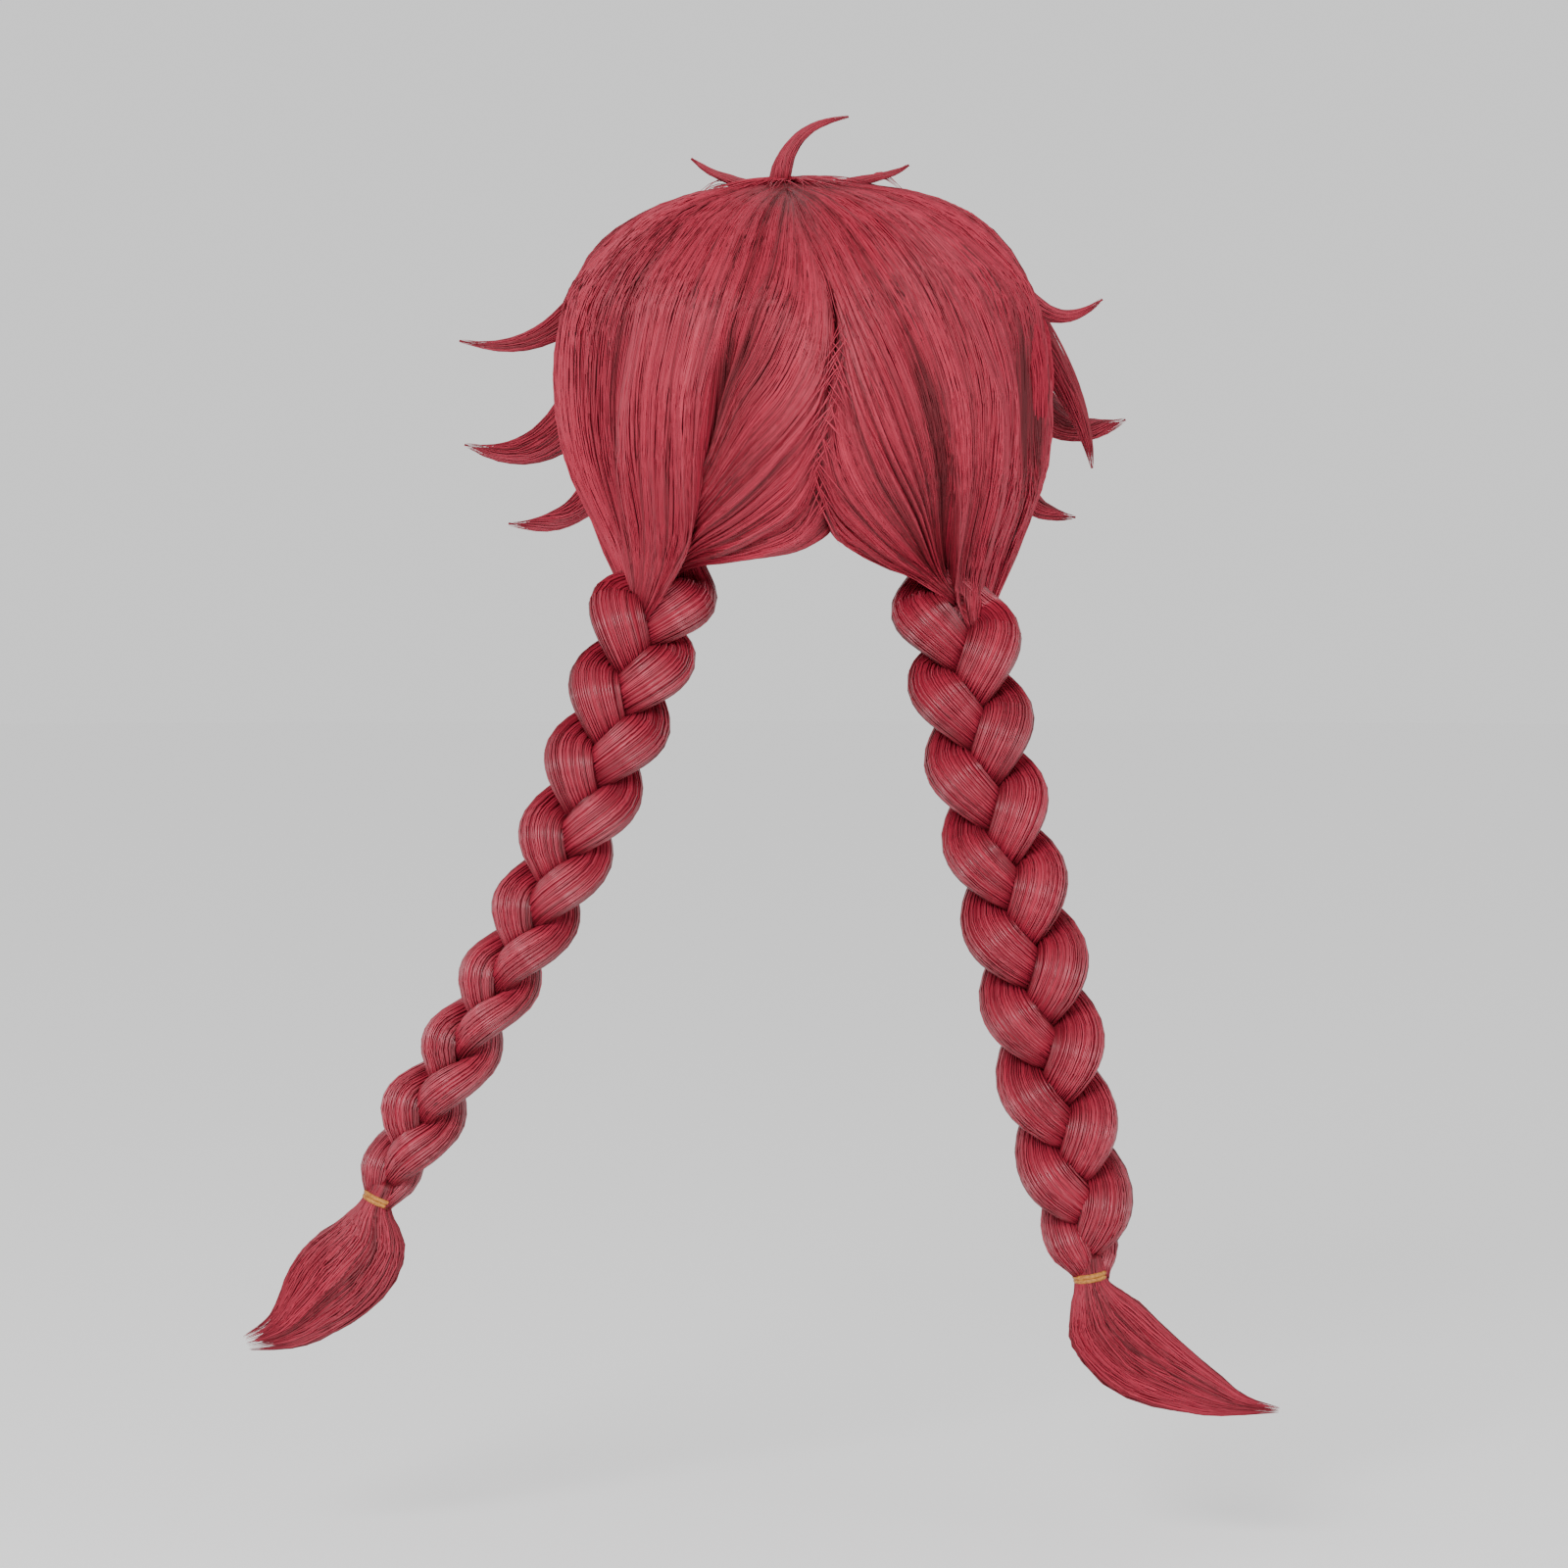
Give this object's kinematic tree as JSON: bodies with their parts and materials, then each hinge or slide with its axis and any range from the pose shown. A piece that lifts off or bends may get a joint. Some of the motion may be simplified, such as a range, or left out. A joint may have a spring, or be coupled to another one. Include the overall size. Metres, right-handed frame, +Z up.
{
  "type": "cosplay wig",
  "caption": "Crimson synthetic wig with a back parting, flicked side locks, a short fringe and two long three-strand plaits tied with tan elastic bands, worn over the head.",
  "frame": {"origin": "the point inside the cap that rests on the crown of the wearer's head", "axes": "+Z up, +Y the way the wearer faces, +X towards the wearer's right"},
  "size_m": [0.4664, 0.2399, 0.5857],
  "materials": {
    "hair": "crimson synthetic hair fibre with a soft sheen",
    "cap_net": "dark matt stretch net",
    "tie": "tan covered elastic"
  },
  "bodies": {
    "root": {"wig_cap": "cap_net", "hair_left": "hair", "hair_right": "hair", "hair_front": "hair", "flick_left_upper": "hair", "flick_left_middle": "hair", "flick_left_lower": "hair", "flick_right_upper": "hair", "flick_right_front": "hair", "flick_right_middle": "hair", "flick_right_lower": "hair", "crown_sprig": "hair", "crown_wisp_left": "hair", "crown_wisp_right": "hair", "plait_left_strand_1": "hair", "plait_left_strand_2": "hair", "plait_left_strand_3": "hair", "plait_right_strand_1": "hair", "plait_right_strand_2": "hair", "plait_right_strand_3": "hair", "tail_left": "hair", "tail_right": "hair", "tie_left": "tie", "tie_right": "tie"}
  },
  "joints": []
}
